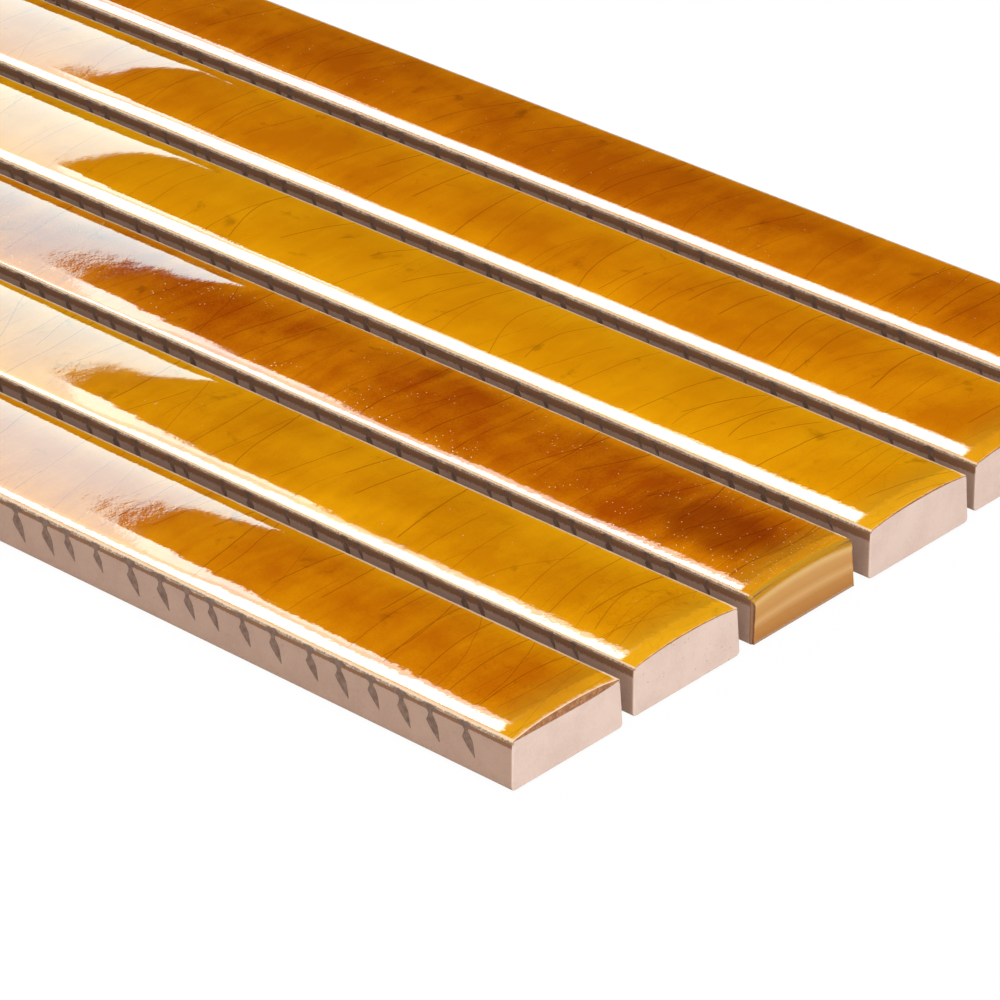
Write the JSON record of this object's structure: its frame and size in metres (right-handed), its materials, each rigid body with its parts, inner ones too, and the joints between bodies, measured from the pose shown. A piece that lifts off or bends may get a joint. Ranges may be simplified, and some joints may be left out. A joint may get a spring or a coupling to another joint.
{
  "type": "ceramic mosaic tile sheet",
  "caption": "Sheet of long narrow crackle-glazed ceramic strips, laid side by side with open joints on a glass-fibre backing mesh, for tiling walls.",
  "frame": {"origin": "middle of the underside, on the face of the backing mesh that goes against the wall", "axes": "+X along the strips, +Y across them, +Z out of the glazed face"},
  "size_m": [0.302, 0.1498, 0.0097],
  "materials": {
    "glaze_strip_1": "gloss",
    "glaze_strip_2": "gloss",
    "glaze_strip_3": "gloss",
    "glaze_strip_4": "gloss",
    "glaze_strip_5": "gloss",
    "glaze_strip_6": "gloss",
    "bisque": "matte",
    "mesh_yarn": "satin"
  },
  "bodies": {
    "root": {"strip_1": "glaze_strip_1", "strip_2": "glaze_strip_2", "strip_3": "glaze_strip_3", "strip_4": "glaze_strip_4", "strip_5": "glaze_strip_5", "strip_6": "glaze_strip_6", "backing_mesh": "mesh_yarn"}
  },
  "joints": []
}
